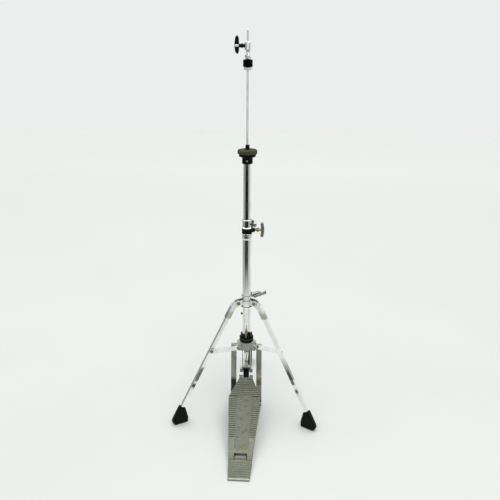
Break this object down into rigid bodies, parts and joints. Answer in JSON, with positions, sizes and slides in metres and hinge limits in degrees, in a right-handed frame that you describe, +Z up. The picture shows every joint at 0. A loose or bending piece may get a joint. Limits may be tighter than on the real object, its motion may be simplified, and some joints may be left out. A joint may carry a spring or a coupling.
{
  "type": "hi-hat stand",
  "caption": "Hi-hat cymbal stand: folding tripod, telescopic tube with felt seat, pull rod with cymbal clutch, and a foot pedal on a frame that pulls the rod down.",
  "frame": {"origin": "on the floor under the centre of the stand's box", "axes": "+Z up along the tube, the pedal points to -Y and the back leg to +Y, +X to the right as seen from the pedal"},
  "size_m": [0.4216, 0.5556, 1.062],
  "materials": {
    "chrome": "polished, lightly worn",
    "steel": "zinc plated, dulled",
    "cast_aluminium": "tumbled casting",
    "brass": "yellow passivated",
    "black_metal": "black, semi-gloss",
    "black_plastic": "moulded, satin",
    "rubber": "matt moulded rubber",
    "grey_felt": "pressed wool felt",
    "black_felt": "pressed wool felt"
  },
  "bodies": {
    "base": {"base_casting": "cast_aluminium", "lower_tube": "chrome", "tube_stop_screw": "black_metal", "spring_cap": "black_metal", "height_clamp_ring": "chrome", "clamp_bushing": "black_plastic", "frame_bar_left": "steel", "frame_bar_right": "steel", "bar_bolt_left": "steel", "bar_bolt_right": "steel", "heel_plate": "cast_aluminium", "hinge_pin": "steel", "brace_root_rivet_left": "steel", "brace_root_rivet_right": "steel", "brace_root_rivet_back": "steel"},
    "upper_stand": {"upper_tube": "chrome", "memory_lock": "chrome", "seat_cup": "black_plastic", "seat_set_screw": "chrome", "seat_sleeve": "black_metal", "seat_felt": "grey_felt"},
    "memory_key": {"memory_lock_screw": "steel"},
    "height_bolt": {"height_t_bolt": "steel"},
    "pull_rod": {"lower_pull_rod": "steel", "upper_pull_rod": "chrome", "pull_yoke": "steel", "rod_connector": "chrome", "rod_lock_nut": "brass", "return_spring": "steel"},
    "clutch": {"clutch_body": "chrome", "clutch_tube": "steel", "clutch_lock_nuts": "chrome", "clutch_upper_felt": "black_felt", "clutch_lower_felt": "black_felt"},
    "clutch_wing": {"clutch_wing_bolt": "black_plastic"},
    "clutch_nut": {"clutch_bottom_nut": "chrome"},
    "dial": {"tension_dial": "black_plastic"},
    "dial_lock": {"tension_lock_screw": "brass"},
    "collar": {"leg_collar": "chrome", "collar_rivet_left": "brass", "collar_rivet_right": "brass", "collar_rivet_back": "brass"},
    "collar_bolt": {"collar_wing_bolt": "steel"},
    "footboard": {"footboard": "cast_aluminium"},
    "strap": {"toe_strap": "rubber"},
    "leg_left": {"leg_left": "chrome", "knee_bracket_left": "chrome", "foot_left": "rubber"},
    "brace_left": {"brace_left": "chrome", "brace_tip_rivet_left": "brass"},
    "leg_right": {"leg_right": "chrome", "knee_bracket_right": "chrome", "foot_right": "rubber"},
    "brace_right": {"brace_right": "chrome", "brace_tip_rivet_right": "brass"},
    "leg_back": {"leg_back": "chrome", "knee_bracket_back": "chrome", "foot_back": "rubber"},
    "brace_back": {"brace_back": "chrome", "brace_tip_rivet_back": "brass"}
  },
  "joints": [
    {"name": "height_slide", "type": "slide", "parent": "base", "child": "upper_stand", "axis": [0, 0, 1], "range_m": [0, 0.15]},
    {"name": "memory_key_turn", "type": "hinge", "parent": "upper_stand", "child": "memory_key", "pos_m": [0.0206, 0.0381, 0.5796], "axis": [0, -1, 0], "range_deg": [-180, 180]},
    {"name": "height_bolt_turn", "type": "hinge", "parent": "base", "child": "height_bolt", "pos_m": [0.03, 0.0381, 0.5643], "axis": [1, 0, 0], "range_deg": [-180, 180]},
    {"name": "pull_rod_slide", "type": "slide", "parent": "base", "child": "pull_rod", "axis": [0, 0, -1], "range_m": [0, 0.0317], "stiffness_N_per_m": 600, "springref_m": -0.03, "deforming": ["return_spring"]},
    {"name": "clutch_slide", "type": "slide", "parent": "pull_rod", "child": "clutch", "axis": [0, 0, 1], "range_m": [-0.15, 0.02]},
    {"name": "clutch_wing_turn", "type": "hinge", "parent": "clutch", "child": "clutch_wing", "pos_m": [-0.021, 0.0381, 1.0258], "axis": [-1, 0, 0], "range_deg": [-180, 180]},
    {"name": "clutch_nut_turn", "type": "hinge", "parent": "clutch", "child": "clutch_nut", "pos_m": [0, 0.0381, 0.9745], "axis": [0, 0, 1], "range_deg": [-180, 180]},
    {"name": "tension_dial_turn", "type": "hinge", "parent": "base", "child": "dial", "pos_m": [0, 0.0381, 0.2278], "axis": [0, 0, 1], "range_deg": [-180, 180]},
    {"name": "tension_lock_turn", "type": "hinge", "parent": "base", "child": "dial_lock", "pos_m": [0, 0.0181, 0.255], "axis": [0, -1, 0], "range_deg": [-180, 180]},
    {"name": "collar_slide", "type": "slide", "parent": "base", "child": "collar", "axis": [0, 0, 1], "range_m": [0, 0.09391]},
    {"name": "collar_bolt_turn", "type": "hinge", "parent": "collar", "child": "collar_bolt", "pos_m": [0.03444, 0.05416, 0.366], "axis": [-0.4226, 0.9063, 0], "range_deg": [-180, 180]},
    {"name": "leg_left_fold", "type": "hinge", "parent": "collar", "child": "leg_left", "pos_m": [-0.02555, 0.02335, 0.35], "axis": [0.5, -0.866, 0], "range_deg": [0, 24.35]},
    {"name": "brace_left_fold", "type": "hinge", "parent": "base", "child": "brace_left", "pos_m": [-0.02598, 0.0231, 0.2045], "axis": [0.5, -0.866, 0], "range_deg": [-67.5, 0]},
    {"name": "leg_right_fold", "type": "hinge", "parent": "collar", "child": "leg_right", "pos_m": [0.02555, 0.02335, 0.35], "axis": [0.5, 0.866, 0], "range_deg": [0, 24.35]},
    {"name": "brace_right_fold", "type": "hinge", "parent": "base", "child": "brace_right", "pos_m": [0.02598, 0.0231, 0.2045], "axis": [0.5, 0.866, 0], "range_deg": [-67.5, 0]},
    {"name": "leg_back_fold", "type": "hinge", "parent": "collar", "child": "leg_back", "pos_m": [0, 0.0676, 0.35], "axis": [-1, 0, 0], "range_deg": [0, 24.35]},
    {"name": "brace_back_fold", "type": "hinge", "parent": "base", "child": "brace_back", "pos_m": [0, 0.0681, 0.2045], "axis": [-1, 0, 0], "range_deg": [-67.5, 0]},
    {"name": "footboard_press", "type": "hinge", "parent": "base", "child": "footboard", "pos_m": [0, -0.21077, 0.0105], "axis": [-1, 0, 0], "range_deg": [0, 8.5]},
    {"name": "strap_swing", "type": "hinge", "parent": "footboard", "child": "strap", "pos_m": [0, 0.02454, 0.1007], "axis": [1, 0, 0], "range_deg": [0, 38.89]}
  ],
  "couplings": [
    {"joint": "leg_left_fold", "follows": "collar_slide", "rad_per_m": 4.5162},
    {"joint": "brace_left_fold", "follows": "collar_slide", "rad_per_m": -12.527},
    {"joint": "leg_right_fold", "follows": "collar_slide", "rad_per_m": 4.5162},
    {"joint": "brace_right_fold", "follows": "collar_slide", "rad_per_m": -12.527},
    {"joint": "leg_back_fold", "follows": "collar_slide", "rad_per_m": 4.5162},
    {"joint": "brace_back_fold", "follows": "collar_slide", "rad_per_m": -12.527},
    {"joint": "pull_rod_slide", "follows": "footboard_press", "m_per_rad": 0.21122},
    {"joint": "strap_swing", "follows": "footboard_press", "ratio": 4.5696}
  ]
}
